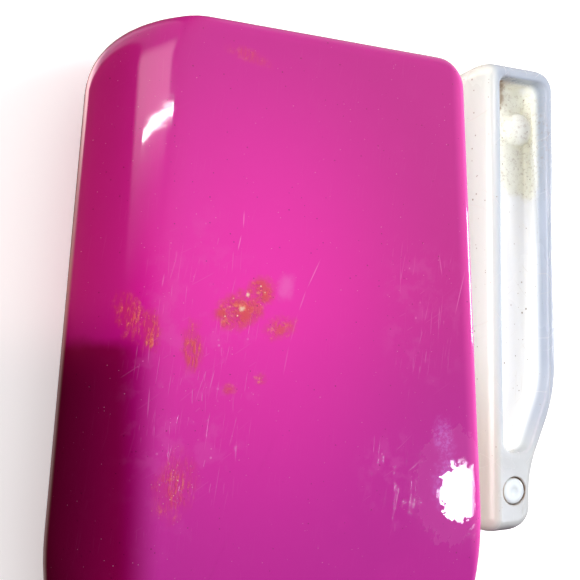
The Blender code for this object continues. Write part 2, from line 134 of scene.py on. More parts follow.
def mesh_object(name, bm, sharp=35):
    """Object from a bmesh in millimetres, smooth shaded except where faces meet at over sharp degrees."""
    bmesh.ops.recalc_face_normals(bm, faces=bm.faces)
    mesh = bpy.data.meshes.new(name)
    bm.to_mesh(mesh)
    bm.free()
    mesh.shade_smooth()
    mesh.set_sharp_from_angle(angle=math.radians(sharp))
    return linked_object(name, mesh)


def combine(obj, shapes, operation, folded):
    """Boolean with each bmesh in turn; folded minds faces that cross within one mesh."""
    for shape in shapes:
        other = mesh_object("tool", shape)
        mod = obj.modifiers.new("boolean", "BOOLEAN")
        mod.operation = operation
        mod.solver = "EXACT"
        mod.use_self = folded
        mod.object = other
        apply_modifiers(obj)
        bpy.data.objects.remove(other, do_unlink=True)


def cut(obj, *shapes, folded=False):
    combine(obj, shapes, "DIFFERENCE", folded)


def join(obj, *shapes, folded=False):
    combine(obj, shapes, "UNION", folded)


def apply_modifiers(obj):
    graph = bpy.context.evaluated_depsgraph_get()
    graph.update()
    fresh = bpy.data.meshes.new_from_object(obj.evaluated_get(graph))
    old = obj.data
    obj.modifiers.clear()
    obj.data = fresh
    bpy.data.meshes.remove(old)


def soften(obj, width, segments=3, angle=40, sharp=50):
    """Round the hard edges, then tidy and smooth the mesh."""
    bm = bmesh.new()
    bm.from_mesh(obj.data)
    bmesh.ops.remove_doubles(bm, verts=bm.verts, dist=0.002)
    bmesh.ops.dissolve_limit(bm, angle_limit=math.radians(0.1), verts=bm.verts, edges=bm.edges)
    bm.to_mesh(obj.data)
    bm.free()
    mod = obj.modifiers.new("bevel", "BEVEL")
    mod.width = width
    mod.segments = segments
    mod.limit_method = "ANGLE"
    mod.angle_limit = math.radians(angle)
    apply_modifiers(obj)
    obj.data.shade_smooth()
    obj.data.set_sharp_from_angle(angle=math.radians(sharp))
    obj.modifiers.new("normals", "WEIGHTED_NORMAL").keep_sharp = True
    apply_modifiers(obj)
    return obj


def rounded(corners, segments=10):
    """Outline through (x, y, radius) corners, each rounded by an arc."""
    outline = []
    count = len(corners)
    for i, (x, y, r) in enumerate(corners):
        here = Vector((x, y))
        to_prev = (Vector(corners[i - 1][:2]) - here).normalized()
        to_next = (Vector(corners[(i + 1) % count][:2]) - here).normalized()
        half = to_prev.angle(to_next) / 2
        centre = here + (to_prev + to_next).normalized() * (r / math.sin(half))
        start = here + to_prev * (r / math.tan(half)) - centre
        end = here + to_next * (r / math.tan(half)) - centre
        sweep = start.angle_signed(end)
        for s in range(segments + 1):
            turn = Matrix.Rotation(-sweep * s / segments, 2)
            outline.append(tuple(centre + turn @ start))
    return outline


def box_corners(x0, x1, y0, y1, r=0.0):
    return [(x1, y1, r), (x0, y1, r), (x0, y0, r), (x1, y0, r)]


def circle(x, y, r, segments=48):
    return [(x + r * math.cos(math.tau * i / segments), y + r * math.sin(math.tau * i / segments))
            for i in range(segments)]


def arc(x, y, r, start, end, steps):
    """Points of an arc between two angles in radians."""
    angles = [start + (end - start) * s / steps for s in range(steps + 1)]
    return [(x + r * math.cos(a), y + r * math.sin(a)) for a in angles]


def raised(outline, z):
    return [(x, y, z) for x, y in outline]


def loft(rings, caps=True):
    """Solid through rings of equal length, each a list of (x, y, z)."""
    bm = bmesh.new()
    layers = [[bm.verts.new(p) for p in ring] for ring in rings]
    count = len(rings[0])
    for low, high in zip(layers, layers[1:]):
        for i in range(count):
            j = (i + 1) % count
            bm.faces.new((low[i], low[j], high[j], high[i]))
    if caps:
        bm.faces.new(list(reversed(layers[0])))
        bm.faces.new(layers[-1])
    return bm


def ring_object(name, rings, sharp):
    """Object from rings that close on themselves like a tyre."""
    bm = loft(rings + rings[:1], caps=False)
    bmesh.ops.remove_doubles(bm, verts=bm.verts, dist=1e-5)
    return mesh_object(name, bm, sharp)


def prism(outline, z0, z1):
    return loft([raised(outline, z) for z in (z0, z1)])


def block(x0, x1, y0, y1, z0, z1, r=0.0):
    outline = rounded(box_corners(x0, x1, y0, y1, r)) if r else [p[:2] for p in box_corners(x0, x1, y0, y1)]
    return prism(outline, z0, z1)


def turned(profile, x, y, segments=48):
    """Solid of revolution about a line along Z: profile is (radius, z) from bottom to top."""
    return loft([raised(circle(x, y, r, segments), z) for r, z in profile])


def arc_steps(radius, steps=5, height=None):
    """(inset, height) steps of a quarter round or ellipse, from its foot to its top."""
    angles = [math.pi / 2 * s / steps for s in range(steps + 1)]
    return [(radius * (1 - math.cos(a)), (height or radius) * math.sin(a)) for a in angles]


def soft_rings(outline_at, z0, z1, low_r, high_r, high_reach=None, steps=5):
    """Rings of a slab with rounded lower and upper edges; outline_at(inset) gives its outline."""
    high_reach = high_reach or high_r
    rings = [raised(outline_at(inset), z0 + low_r - rise)
             for inset, rise in reversed(arc_steps(low_r, steps))]
    rings += [raised(outline_at(inset), z1 - high_reach + rise)
              for inset, rise in arc_steps(high_r, 2 * steps, high_reach)]
    return rings


# ---- housing

def round_inset(z, radius, half):
    """How far an edge of this radius has drawn in at height z of a body 2*half thick."""
    depth = abs(z - SEAM) - (half - radius)
    if depth <= 0:
        return 0.0
    return radius - math.sqrt(max(radius ** 2 - depth ** 2, 0.0))


def crossing(first, second):
    """Where two lines meet, each moved to its left by its inset."""
    (p, d, a), (q, e, b) = first, second
    d, e = Vector(d).normalized(), Vector(e).normalized()
    p = Vector(p) + Vector((-d.y, d.x)) * a
    q = Vector(q) + Vector((-e.y, e.x)) * b
    return p + d * ((q - p).cross(e) / d.cross(e))


def housing_outline(left, soft, segments=12):
    """The housing's outline, drawn in by left along the bull-nosed flank and by soft elsewhere."""
    guard = GUARD_R - 0.1
    lines = [
        ((0, TAIL_Y), (-1, 0), soft),
        ((TAIL_LEFT_X, TAIL_Y), (SHOULDER_LEFT_X - TAIL_LEFT_X, SHOULDER_Y - TAIL_Y), left),
        ((SHOULDER_LEFT_X, SHOULDER_Y), (-GUARD_R - SHOULDER_LEFT_X, NECK_Y - SHOULDER_Y), (left + soft) / 2),
        ((-GUARD_R, WHEEL_Y), (0, -1), soft),
        ((0, WHEEL_Y - GUARD_R), (1, 0), soft),
        ((GUARD_R, WHEEL_Y), (0, 1), soft),
        ((SHOULDER_RIGHT_X, SHOULDER_Y), (SHOULDER_RIGHT_X - GUARD_R, SHOULDER_Y - NECK_Y), soft),
        ((TAIL_RIGHT_X, TAIL_Y), (TAIL_RIGHT_X - SHOULDER_RIGHT_X, TAIL_Y - SHOULDER_Y), soft),
    ]
    radii = [LEFT_CORNER_R, SHOULDER_R, NECK_R, guard, guard, NECK_R, SHOULDER_R, RIGHT_CORNER_R]
    corners = []
    for i, line in enumerate(lines):
        following = lines[(i + 1) % len(lines)]
        x, y = crossing(line, following)
        corners.append((x, y, max(radii[i] - (line[2] + following[2]) / 2, 0.8)))
    return rounded(corners, segments)


def housing_ring(z, wall=0.0):
    """Outline at height z; outside, the bull-nose is a flat ellipse that eases into the face."""
    half = THICK / 2 - wall
    stretch = 1.0 if wall else BULL_REACH / BULL_R
    left = wall + round_inset(z, BULL_R - wall, half) * stretch
    soft = wall + round_inset(z, max(EDGE_R - wall, 0.4), half)
    return raised(housing_outline(left, soft), z)


def shell_rings(sign):
    """Rings from the seam to the face, then rings that shrink towards the middle of a barely crowned face."""
    steps = [90 * (1 - (1 - s / 22) ** 1.6) for s in range(23)]
    heights = [SEAM + sign * max(BULL_R * math.sin(math.radians(a)), GAP / 2) for a in steps]
    rings = [housing_ring(z) for z in heights]
    face, middle = rings[-1], Vector((0, -6, 0))
    for shrink in (0.985, 0.95, 0.88, 0.76, 0.6, 0.42, 0.24, 0.1):
        lift = max(sign, 0) * CROWN * (1 - shrink ** 2)
        rings.append([(middle.x + (x - middle.x) * shrink, middle.y + (y - middle.y) * shrink, z + lift)
                      for x, y, z in face])
    return rings


def hollow_tools():
    """The space inside both shells and its openings at the lever's side and at the nose."""
    reach = THICK / 2 - WALL
    inside = loft([housing_ring(SEAM + reach * math.sin(math.radians(a)), WALL)
                   for a in (-90, -80, -65, -50, -35, -20, 0, 20, 35, 50, 65, 80, 90)])
    side = block(OPEN_SIDE_X, 60, OPEN_SIDE_Y, 60, WALL, THICK - WALL)
    nose = block(-45, 45, -95, OPEN_NOSE_Y, WALL, THICK - WALL)
    return inside, side, nose


def window_outline(grow):
    """The half-moon that bares the wheel, with rounded horns, drawn outwards by grow."""
    radius, line = WINDOW_R + grow, FRONT_NOSE_Y + grow
    horn = 1.2 - grow * 0.5
    rise = line + horn - WINDOW_Y
    horn_x = math.sqrt((radius + horn) ** 2 - rise ** 2)
    centre = Vector((horn_x, line + horn))
    touch = math.atan2(rise, horn_x)
    right = [(45, -95), (45, line)] + arc(centre.x, centre.y, horn, -math.pi / 2, touch - math.pi, 6)
    moon = arc(0, WINDOW_Y, radius, touch, math.pi - touch, 40)[1:-1]
    return right + moon + [(-x, y) for x, y in reversed(right)]


def front_shell():
    shell = mesh_object("front_shell", loft(shell_rings(1)))
    cut(shell, *hollow_tools())
    low = SEAM + GAP / 2
    for spot in SCREWS:
        join(shell, prism(circle(spot.x, spot.y, FRONT_BOSS_R, 32), low, THICK - WALL + 0.1))
        cut(shell, prism(circle(spot.x, spot.y, SCREW_R + GAP, 24), low - 1, 11.6))
    lip = 0.9
    flare = [(0, -1), (0, THICK - lip)]
    flare += [(grow, THICK - lip + rise) for grow, rise in arc_steps(lip)[1:]]
    flare.append((lip, THICK + 2))
    cut(shell, loft([raised(window_outline(grow), z) for grow, z in flare]))
    near, far = LOCK_X - TONGUE_HALF_W - GAP, LOCK_X + TONGUE_HALF_W + LOCK_TRAVEL + GAP
    half = TONGUE_HALF_L + 0.4
    cut(shell, block(near, far, LOCK_Y - half, LOCK_Y + half, 10, THICK + 2))
    return soften(shell, 0.22, 2)


def rear_shell():
    shell = mesh_object("rear_shell", loft(shell_rings(-1)))
    cut(shell, *hollow_tools())
    top = SEAM - GAP / 2
    for spot in SCREWS:
        join(shell, prism(circle(spot.x, spot.y, REAR_BOSS_R, 32), WALL - SINK, top))
        head = [(3.3, -1.0), (3.3, 0.0), (2.9, 0.35), (2.9, 2.2), (1.6, 2.2), (1.6, top + 1)]
        cut(shell, turned(head, spot.x, spot.y, 40))
    for side in (-1, 1):
        x0, x1 = sorted((side * (STEM_HALF_W + GAP), side * (STEM_HALF_W + 2.0)))
        join(shell, block(x0, x1, RAIL_Y0, RAIL_Y1, WALL - SINK, RAIL_TOP_Z))
    join(shell, block(-POST_HALF_W, POST_HALF_W, -5.4, SPRING_LOW.y - GAP, WALL - SINK, POST_TOP_Z))
    right, upper, lower, corner_r = PIVOT_X + EAR_R, PIVOT_Y + EAR_R, PIVOT_Y - EAR_R, EAR_R - 0.1
    ear = [(right, upper, corner_r), (18, upper, 1), (18, lower, 1), (right, lower, corner_r)]
    join(shell, prism(rounded(ear), 0.15, WALL - 0.1))
    cut(shell, prism(circle(PIVOT_X, PIVOT_Y, PIN_R + GAP), -1, 3))
    return soften(shell, 0.22, 2)


def cover_screw(i):
    """Pan head with a cross recess."""
    spot = SCREWS[i - 1]
    profile = [(1.9, 0.4), (2.3, 0.55), (SCREW_HEAD_R, 0.9), (SCREW_HEAD_R, 1.9), (SCREW_R, 1.9),
               (SCREW_R, 10.6), (0.7, 11.2)]
    screw = mesh_object(f"screw_{i}", turned(profile, spot.x, spot.y, 40))
    recess = []
    for turn in range(4):
        angle = math.pi / 2 * turn + 0.5 * i
        for r, side in ((0.45, -0.79), (1.55, -0.22), (1.55, 0.22)):
            recess.append((spot.x + r * math.cos(angle + side), spot.y + r * math.sin(angle + side)))
    cut(screw, prism(recess, -1, 1.3))
    return soften(screw, 0.06, 2)


# ---- lever

def lever_outline(inset=0.0):
    left, right = LEVER_LEFT_X + inset, LEVER_RIGHT_X - inset
    top, bottom, heel = LEVER_TOP_Y - inset, LEVER_BOTTOM_Y + inset, LEVER_HEEL_X - inset
    small = max(2.3 - inset, 0.4)
    corners = [(right, top, 3.4 - inset), (left, top, small), (left, bottom, small),
               (heel, bottom, 3.6 - inset), (heel, PIVOT_Y + 2.5, 14.0), (right, PIVOT_Y + 13, 20.0)]
    return rounded(corners, 12)


def pocket_outline(inset=0.0):
    top, left = LEVER_TOP_Y - RIM - inset, LEVER_LEFT_X + RIM + inset
    right, bottom = LEVER_RIGHT_X - RIM - inset, POCKET_BOTTOM_Y + inset
    heel, small, large = LEVER_HEEL_X - 1.4 - inset, 1.2 - inset, 1.8 - inset
    return rounded([(right, top, small), (left, top, small), (left, bottom, large), (heel, bottom, large),
                    (right, PIVOT_Y + 14, 12.0)], 10)


def arm_outline():
    """A bar from the lever's wall to the drive pin, with a round end."""
    half, start_x = ARM_W / 2, LEVER_LEFT_X + 1.5
    end = arc(DRIVE_X, DRIVE_Y, half, math.pi / 2, math.pi * 1.5, 20)
    return [(start_x, PIVOT_Y + half + 1)] + end + [(start_x, PIVOT_Y - half + 1)]


def lever_body():
    lever = mesh_object("lever_body", loft(soft_rings(lever_outline, LEVER_Z0, LEVER_Z1, 0.7, 1.9, 4.2)))
    floor_z = LEVER_Z1 - POCKET_DEPTH
    foot, mouth = 0.9, 0.35
    rings = [raised(pocket_outline(inset), floor_z + foot - rise)
             for inset, rise in reversed(arc_steps(foot))]
    rings += [raised(pocket_outline(-inset), LEVER_Z1 - mouth + rise)
              for inset, rise in arc_steps(mouth, 4)]
    rings.append(raised(pocket_outline(-mouth), LEVER_Z1 + 1))
    cut(lever, loft(rings), folded=True)
    fillet = 0.5
    dome = [(BOSS_R + fillet, floor_z - 0.4)]
    dome += [(BOSS_R + fillet - fillet * math.sin(a), floor_z + fillet - fillet * math.cos(a))
             for a in (0.4, 0.8, 1.2, 1.57)]
    dome += [(BOSS_R * math.cos(a), floor_z + fillet + (BOSS_H - fillet) * math.sin(a))
             for a in (0.2, 0.4, 0.6, 0.8, 1.0, 1.2, 1.4, 1.52)]
    join(lever, prism(arm_outline(), ARM_Z0, ARM_Z1), folded=True)
    cut(lever, prism(circle(DRIVE_X, DRIVE_Y, DRIVE_R + GAP, 32), ARM_Z0 - 1, ARM_Z1 + 1), folded=True)
    seat = LEVER_Z1 - PIN_HEAD_T - GAP
    shank_r, head_r, mouth_r = PIN_R + GAP, PIN_HEAD_R + 0.12, PIN_HEAD_R + 0.3
    bore = [(shank_r, LEVER_Z0 - 1), (shank_r, seat), (head_r, seat), (head_r, LEVER_Z1 - 0.15),
            (mouth_r, LEVER_Z1 + 0.02), (mouth_r, LEVER_Z1 + 1)]
    cut(lever, turned(bore, PIVOT_X, PIVOT_Y), folded=True)
    soften(lever, 0.16, 2)
    join(lever, turned(dome, BOSS_X, BOSS_Y, 48), folded=True)
    return lever


def pivot_pin():
    """Flush head with a broken edge and a faint moulding dimple."""
    top = LEVER_Z1
    head_r, under = PIN_HEAD_R, top - PIN_HEAD_T
    profile = [(PIN_R, 0.5), (PIN_R, under), (head_r, under), (head_r, top - 0.35),
               (head_r - 0.06, top - 0.18), (head_r - 0.2, top - 0.05), (head_r - 0.4, top), (0.62, top),
               (0.5, top - 0.05), (0.3, top - 0.16), (0.05, top - 0.18)]
    return mesh_object("pivot_pin", turned(profile, PIVOT_X, PIVOT_Y))


def drive_stud():
    top = DRIVE_HIGH.z
    profile = [(DRIVE_R - 0.3, DRIVE_LOW.z), (DRIVE_R, DRIVE_LOW.z + 0.3), (DRIVE_R, top - 0.5),
               (DRIVE_R - 0.1, top - 0.2), (DRIVE_R - 0.35, top)]
    return mesh_object("drive_stud", turned(profile, DRIVE_X, DRIVE_Y, 36))


# ---- carrier, spring and lock

def carrier_body():
    half, tip_y, tip_w = CARRIER_HALF_W, WHEEL_Y - 4.6, 4.6
    fork = rounded([(half, BODY_TOP_Y, 0.8), (-half, BODY_TOP_Y, 0.8), (-half, WHEEL_Y + 6, 4.0),
                    (-tip_w, tip_y, 4.5), (tip_w, tip_y, 4.5), (half, WHEEL_Y + 6, 4.0)])
    carrier = mesh_object("carrier_body", prism(fork, CARRIER_Z0, CARRIER_Z1))
    join(carrier, block(-STEM_HALF_W, STEM_HALF_W, BODY_TOP_Y - 4, RAIL_Y1, TAIL_Z0, 11.8, 1.0))
    slot_half = DRIVE_R + GAP / 2
    tools = [block(-20, 20, WHEEL_Y - 12, WHEEL_Y + WHEEL_R + 1.2, FORK_Z0, FORK_Z1),
             block(DRIVE_X - 2.6, DRIVE_X + 2.6, DRIVE_Y - slot_half, DRIVE_Y + slot_half, 5, 13, 0.6),
             block(-2.7, 2.7, -7.2, SPRING_HIGH.y + GAP, 5, 13, 0.5),
             prism(circle(0, WHEEL_Y, AXLE_R + GAP, 36), 0, THICK),
             prism(circle(0, WHEEL_Y, NUT_R + GAP, 6), 0, NUT_TOP_Z + GAP)]
    reach, notch = LOCK_X + TONGUE_HALF_W + LOCK_TRAVEL + GAP, TONGUE_HALF_L + GAP
    for y in (LOCK_Y, LOCK_Y + STROKE):
        tools.append(block(-CARRIER_HALF_W - 1, reach, y - notch, y + notch, TONGUE_Z0 - GAP, 13))
    cut(carrier, *tools)
    return soften(carrier, 0.25, 2)


def coil_share(share):
    """Place along the spring: closed end turns, then an even pitch between them."""
    closed, rise = 1.0 / SPRING_TURNS, 0.045
    if share < closed:
        return share / closed * rise
    if share > 1 - closed:
        return 1 - (1 - share) / closed * rise
    return rise + (share - closed) / (1 - 2 * closed) * (1 - 2 * rise)


def coil_spring():
    per_turn, sides = 32, 10
    steps = SPRING_TURNS * per_turn
    start, length = SPRING_LOW.y + SPRING_WIRE, SPRING_HIGH.y - SPRING_LOW.y - 2 * SPRING_WIRE
    along = Vector((0, 1, 0))
    rings = []
    for i in range(steps + 1):
        angle = i / steps * SPRING_TURNS * math.tau
        out = Vector((math.cos(angle), 0, math.sin(angle)))
        centre = Vector((0, start + coil_share(i / steps) * length, SPRING_Z)) + out * SPRING_R
        turns = [math.tau * k / sides for k in range(sides)]
        rings.append([tuple(centre + (out * math.cos(a) + along * math.sin(a)) * SPRING_WIRE) for a in turns])
    return mesh_object("coil_spring", loft(rings), 60)


def lock_cap_outline(inset):
    half_w, half_l = CAP_HALF_W - inset, CAP_HALF_L - inset
    corners = box_corners(LOCK_X - half_w, LOCK_X + half_w, LOCK_Y - half_l, LOCK_Y + half_l, CAP_R - inset)
    return rounded(corners)


def tongue_block(z0, z1):
    """The lock's neck or tongue between two heights."""
    return block(LOCK_X - TONGUE_HALF_W, LOCK_X + TONGUE_HALF_W,
                 LOCK_Y - TONGUE_HALF_L, LOCK_Y + TONGUE_HALF_L, z0, z1)


def lock_cap():
    """Thumb button with cross ribs on a dished top."""
    z0, z1 = LOCK_LOW.z + 2.3, LOCK_HIGH.z
    button = mesh_object("lock_cap", loft(soft_rings(lock_cap_outline, z0, z1, 0.2, 0.7)))
    join(button, tongue_block(TONGUE_Z1 + GAP, z0 + 0.5))
    for i in range(-2, 3):
        x = LOCK_X + i * RIB_PITCH
        cut(button, block(x - 0.3, x + 0.3, LOCK_Y - 2.4, LOCK_Y + 2.4, z1 - 0.5, z1 + 2, 0.25))
    return soften(button, 0.1, 2)


def lock_tongue():
    slider = mesh_object("lock_tongue", tongue_block(TONGUE_Z0, TONGUE_Z1))
    wing = (LOCK_X - 6.0, LOCK_X + TONGUE_HALF_W, LOCK_Y - 3.0, LOCK_Y + 3.0)
    join(slider, block(*wing, TONGUE_Z1 - 0.25, TONGUE_Z1 + 0.02, 0.6))
    return soften(slider, 0.08, 2)


# ---- wheel and axle

def polar_ring(radii, z):
    """Ring about the wheel's axis with a radius for each of its points."""
    turns = [math.tau * i / len(radii) for i in range(len(radii))]
    return [(r * math.cos(a), WHEEL_Y + r * math.sin(a), z) for r, a in zip(radii, turns)]


def serrated_wheel():
    """Stamped disc with a raised ring, thinning to pointed teeth with rounded roots."""
    per_tooth, half, root_r = 6, 0.5, WHEEL_R - 1.3
    web = half - 0.16
    radii = [(2.7, half - 0.06), (2.85, half), (6.2, half), (6.5, web), (9.0, web), (9.3, half), (10.9, half),
             (11.6, half - 0.14)]
    edge = []
    for i in range(TEETH * per_tooth):
        phase = abs((i % per_tooth) / per_tooth - 0.5) * 2
        edge.append(root_r + (WHEEL_R - root_r) * phase ** 1.35)
    side = [([r] * len(edge), z) for r, z in radii]
    side += [([r - 0.12 for r in edge], half - 0.26), (edge, 0.12)]
    rings = [polar_ring(r, WHEEL_Z + z) for r, z in side]
    rings += [polar_ring(r, WHEEL_Z - z) for r, z in reversed(side)]
    return ring_object("serrated_wheel", rings, 28)


def tube(name, profile, bore, segments=48):
    """Turned piece with a hole: profile is (radius, z) from bottom to top."""
    chamfer = 0.08
    low, high = profile[0][1], profile[-1][1]
    inner = [(bore + chamfer, high), (bore, high - chamfer), (bore, low + chamfer), (bore + chamfer, low)]
    return ring_object(name, [raised(circle(0, WHEEL_Y, r, segments), z) for r, z in profile + inner], 30)


def chamfered(r, z0, z1, c=0.1):
    return [(r - c, z0), (r, z0 + c), (r, z1 - c), (r - c, z1)]


def hub_bush():
    low, high = (v.z for v in span("wheel_bush"))
    step = WHEEL_Z + 0.5 + GAP
    sleeve = [(2.3, low), (2.4, low + 0.1), (2.4, step)]
    return tube("hub_bush", sleeve + chamfered(FLANGE_R, step, high), AXLE_BORE_R)


def thrust_ring():
    low, high = (v.z for v in span("thrust_washer"))
    return tube("thrust_ring", chamfered(FLANGE_R, low, high), AXLE_BORE_R)


def split_washer():
    """Ring with a slanting cut."""
    low, high = (v.z for v in span("spring_washer"))
    ring = tube("split_washer", chamfered(3.2, low, high, 0.06), AXLE_BORE_R)
    gap = []
    for y, z in ((WHEEL_Y - 0.45, low - 0.5), (WHEEL_Y + 0.15, high + 0.5)):
        gap.append([(1.2, y, z), (1.2, y + 0.3, z), (4.0, y + 0.3, z), (4.0, y, z)])
    cut(ring, loft(gap))
    return ring


def slotted_bolt():
    """Cheese head with a knurled edge and a screwdriver slot."""
    low, high = (v.z for v in span("axle_bolt"))
    head_z, head_r, ridges = high - 1.9, 3.8, 36

    def head_ring(r, z, depth):
        return polar_ring([r - depth * (i % 4 in (0, 3)) for i in range(ridges * 4)], z)

    head = [head_ring(head_r - 0.35, head_z, 0), head_ring(head_r, head_z + 0.3, 0.16),
            head_ring(head_r, high - 0.75, 0.16), head_ring(head_r - 0.35, high - 0.4, 0.0),
            head_ring(head_r - 0.8, high - 0.12, 0), head_ring(head_r - 1.6, high, 0)]
    bolt = mesh_object("slotted_bolt", loft(head))
    join(bolt, turned([(AXLE_R - 0.2, low), (AXLE_R, low + 0.2), (AXLE_R, head_z + 0.5)], 0, WHEEL_Y))
    cut(bolt, block(-5, 5, WHEEL_Y - 0.5, WHEEL_Y + 0.5, head_z + 1.0, high + 3))
    return soften(bolt, 0.05, 2)


def hex_nut():
    low, high = (v.z for v in span("axle_nut"))
    nut = mesh_object("hex_nut", prism(circle(0, WHEEL_Y, NUT_R, 6), low, high))
    cut(nut, prism(circle(0, WHEEL_Y, AXLE_BORE_R, 36), 0, THICK))
    return soften(nut, 0.12, 2)


# ---- materials

class Look:
    """A material's or the world's node tree, with short names for the nodes it is built from."""

    def __init__(self, owner):
        owner.use_nodes = True
        self.owner = owner
        self.tree = owner.node_tree

    def add(self, kind, inputs, **settings):
        """New node; inputs holds a value or another node's output for each socket name or number."""
        node = self.tree.nodes.new("ShaderNode" + kind)
        for key, value in settings.items():
            setattr(node, key, value)
        for key, value in inputs.items():
            if isinstance(value, bpy.types.NodeSocket):
                self.tree.links.new(value, node.inputs[key])
            else:
                node.inputs[key].default_value = value
        return node

    def math(self, operation, a, b=0.0, clamp=False):
        return self.add("Math", {0: a, 1: b}, operation=operation, use_clamp=clamp).outputs[0]

    def offset(self, a, b):
        """How far apart two values are."""
        return self.math("ABSOLUTE", self.math("SUBTRACT", a, b))

    def vector(self, operation, a, b=(0, 0, 0)):
        """Outputs of vector arithmetic: the vector and the value."""
        return self.add("VectorMath", {0: a, 1: b}, operation=operation).outputs

    def times(self, *values):
        product = values[0]
        for value in values[1:]:
            product = self.math("MULTIPLY", product, value)
        return product

    def either(self, *values):
        largest = values[0]
        for value in values[1:]:
            largest = self.math("MAXIMUM", largest, value)
        return largest

    def most(self, *products):
        return self.either(*[self.times(*factors) for factors in products])

    def fade(self, value, low, high, bottom=0.0, top=1.0):
        """Smooth step from bottom at low to top at high."""
        inputs = {"Value": value, "From Min": low, "From Max": high, "To Min": bottom, "To Max": top}
        return self.add("MapRange", inputs, interpolation_type="SMOOTHSTEP").outputs[0]

    def mix(self, share, a, b):
        """Colour a, turning to colour b."""
        a, b = (c if isinstance(c, bpy.types.NodeSocket) else (*c, 1) for c in (a, b))
        return self.add("Mix", {0: share, 6: a, 7: b}, data_type="RGBA").outputs[2]


class Surface(Look):
    """A Principled material, textured by the place on the object in millimetres."""

    def __init__(self, name, rough, metal=0.0):
        super().__init__(bpy.data.materials.new(name))
        self.shader = self.tree.nodes["Principled BSDF"]
        self.set(Roughness=rough, Metallic=metal)
        self.base = None
        metres = self.add("TexCoord", {}).outputs["Object"]
        self.place = self.add("VectorMath", {0: metres, "Scale": 1 / MM}, operation="SCALE").outputs[0]
        axes = self.add("SeparateXYZ", {0: self.place}).outputs
        self.x, self.y, self.z = axes[0], axes[1], axes[2]

    def patch(self, centre, size, turn=0.0):
        """Coordinates that are 1 long at size from the centre, on axes turned about Z by degrees."""
        inputs = {"Vector": self.place, "Location": centre, "Rotation": (0, 0, math.radians(turn)),
                  "Scale": size}
        return self.add("Mapping", inputs, vector_type="TEXTURE").outputs[0]

    def noise(self, size, detail=2.0, rough=0.5, seed=0.0, turn=0.0):
        """Noise whose lumps are about size (x, y, z) across."""
        size = size if isinstance(size, tuple) else (size, size, size)
        place = self.patch((seed, seed * 0.7, -seed), size, turn)
        inputs = {"Vector": place, "Scale": 1.0, "Detail": detail, "Roughness": rough}
        return self.add("TexNoise", inputs).outputs[0]

    def spot(self, centre, size, turn=0.0, soft=0.5, wobble=0.0, grain=1.0):
        """1 within an ellipsoid and 0 outside, over a soft rim that wobbles with a grain of this size."""
        length = self.vector("LENGTH", self.patch(centre, size, turn))["Value"]
        if wobble:
            ragged = self.math("MULTIPLY_ADD", self.noise(grain, 3, 0.6, seed=centre[0]), wobble)
            ragged.node.inputs[2].default_value = -wobble / 2
            length = self.math("ADD", length, ragged)
        return self.fade(length, 1.0, 1.0 - soft)

    def from_axis(self, x, y):
        """Distance from the line along Z through this point."""
        return self.vector("LENGTH", self.patch((x, y, 0), (1, 1, 1e6)))["Value"]

    def stain(self, x, y, size_x, size_y, turn, soft, wobble=0.0, grain=1.0, depth=6):
        """A spot on the front face."""
        return self.spot((x, y, THICK), (size_x, size_y, depth), turn, soft, wobble, grain)

    def stains(self, *rows):
        return self.either(*[self.stain(*row) for row in rows])

    def hairlines(self, turn, spacing, length, width, seed):
        """Straight scratches, one in each cell of a slanted lattice, of random length and strength."""
        place = self.patch((seed, -seed, 0), (spacing, length, 1e6), turn)
        drift = self.math("MULTIPLY", self.noise(length * 2.5, 0.0, 0.5, seed), 0.9)
        place = self.vector("ADD", place, self.add("CombineXYZ", {0: drift}).outputs[0])[0]
        cell = self.vector("FLOOR", place)[0]
        inside = self.add("SeparateXYZ", {0: self.vector("FRACTION", place)[0]}).outputs
        draw = self.add("TexWhiteNoise", {0: cell}).outputs["Color"]
        chance = self.add("SeparateColor", {0: draw}).outputs
        middle = self.fade(chance[0], 0.0, 1.0, 0.15, 0.85)
        across = self.offset(inside[0], middle)
        along = self.offset(inside[1], 0.5)
        half = self.fade(chance[1], 0.0, 1.0, 0.1, 0.48)
        line = self.fade(across, width / spacing, 0.2 * width / spacing)
        ends = self.fade(self.math("DIVIDE", along, half), 1.0, 0.6)
        return self.times(line, ends, self.math("POWER", chance[2], 2.0))

    def stroke(self, x, y, half_length, turn, strength=1.0, width=0.09):
        """One scratch, turned by degrees from the Y axis."""
        return self.times(self.spot((x, y, THICK), (width, half_length, 4), turn, 0.6), strength)

    def specks(self, size, share, seed=0.0):
        """Small round specks in a share of the cells of a random lattice."""
        place = self.patch((seed, seed, seed), (size * 4, size * 4, size * 4))
        cells = self.add("TexVoronoi", {"Vector": place, "Scale": 1.0}).outputs
        chance = self.add("SeparateColor", {0: cells["Color"]}).outputs
        distance = self.math("SUBTRACT", cells["Distance"], self.math("MULTIPLY", chance[1], 0.14))
        return self.times(self.fade(distance, 0.12, 0.04), self.math("LESS_THAN", chance[0], share))

    def bump(self, height, depth):
        """Relief of the given depth in millimetres, on top of any relief before it."""
        normal = self.shader.inputs["Normal"]
        inputs = {"Height": height, "Distance": depth * MM, "Strength": 1.0}
        if normal.is_linked:
            inputs["Normal"] = normal.links[0].from_socket
        self.tree.links.new(self.add("Bump", inputs).outputs[0], normal)

    def paint(self, colour, *shares):
        """Turn the base colour to this one by the product of the shares."""
        self.base = self.mix(self.times(*shares), self.base, colour)

    def colour(self, value):
        self.tree.links.new(value, self.shader.inputs["Base Color"])

    def rough(self, value):
        self.tree.links.new(value, self.shader.inputs["Roughness"])

    def set(self, **sockets):
        for key, value in sockets.items():
            self.shader.inputs[key.replace("_", " ")].default_value = value


